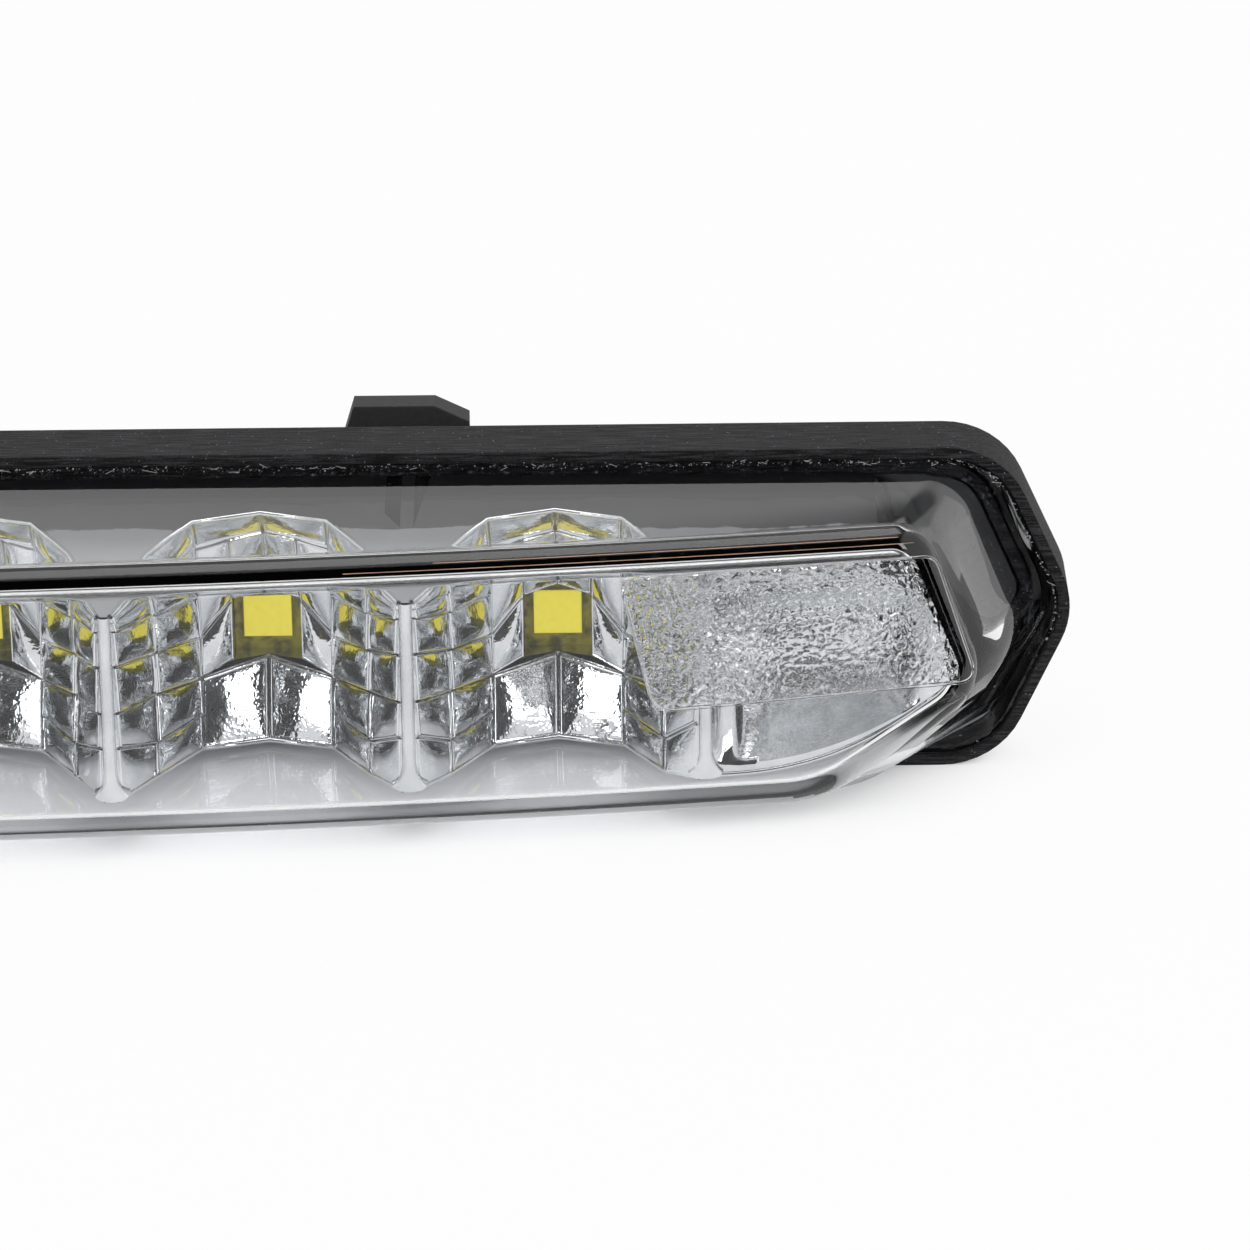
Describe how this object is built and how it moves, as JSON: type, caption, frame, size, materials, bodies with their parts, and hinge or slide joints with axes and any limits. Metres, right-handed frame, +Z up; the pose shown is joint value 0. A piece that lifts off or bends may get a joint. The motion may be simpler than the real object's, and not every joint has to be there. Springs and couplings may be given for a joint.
{
  "type": "daytime running light",
  "caption": "Slim car daytime running lamp: black cast housing, clear swept lens, faceted chrome reflector over a row of yellow diodes, two bent steel fixing brackets.",
  "frame": {"origin": "middle of the line between the two foot holes, on the undersides of the bracket feet", "axes": "+X along the lamp to the right as seen from the front, +Y to the back of the lamp, +Z up; the lens faces -Y"},
  "size_m": [0.2106, 0.0491, 0.024],
  "materials": {
    "cast_body": "matt black coating over die-cast aluminium with fine lengthwise marks",
    "clear_lens": "clear injection-moulded polycarbonate, polished",
    "black_glue": "cured black sealant bead, glossy, with trapped bubbles",
    "metallised": "vacuum-metallised plastic, mirror bright",
    "board_white": "aluminium-core board with white solder mask",
    "heat_pad": "soft silicone heat pad",
    "led_ceramic": "white diode package",
    "led_phosphor": "yellow phosphor plate, unlit",
    "chip_black": "moulded chip package",
    "seal_rubber": "moulded black rubber",
    "vent_plastic": "moulded black plastic with a vent membrane",
    "bracket_steel": "bent steel strip with black electro-dip coating",
    "zinc_steel": "zinc-plated steel"
  },
  "bodies": {
    "root": {"housing": "cast_body", "lens_cover": "clear_lens", "lens_sealant": "black_glue", "reflector": "metallised", "led_board": "board_white", "thermal_pad": "heat_pad", "cable_grommet": "seal_rubber", "vent_plug": "vent_plastic", "board_screws": "zinc_steel", "bracket_left": "bracket_steel", "bracket_right": "bracket_steel", "bracket_screws": "zinc_steel", "bracket_washers": "zinc_steel", "led_1": "led_ceramic", "led_2": "led_ceramic", "led_3": "led_ceramic", "led_4": "led_ceramic", "led_5": "led_ceramic", "led_6": "led_ceramic", "led_7": "led_ceramic", "led_8": "led_ceramic", "phosphor_1": "led_phosphor", "phosphor_2": "led_phosphor", "phosphor_3": "led_phosphor", "phosphor_4": "led_phosphor", "phosphor_5": "led_phosphor", "phosphor_6": "led_phosphor", "phosphor_7": "led_phosphor", "phosphor_8": "led_phosphor", "driver_ic": "chip_black", "protection_diode": "chip_black", "input_capacitor": "chip_black", "current_resistors": "chip_black"}
  },
  "joints": []
}
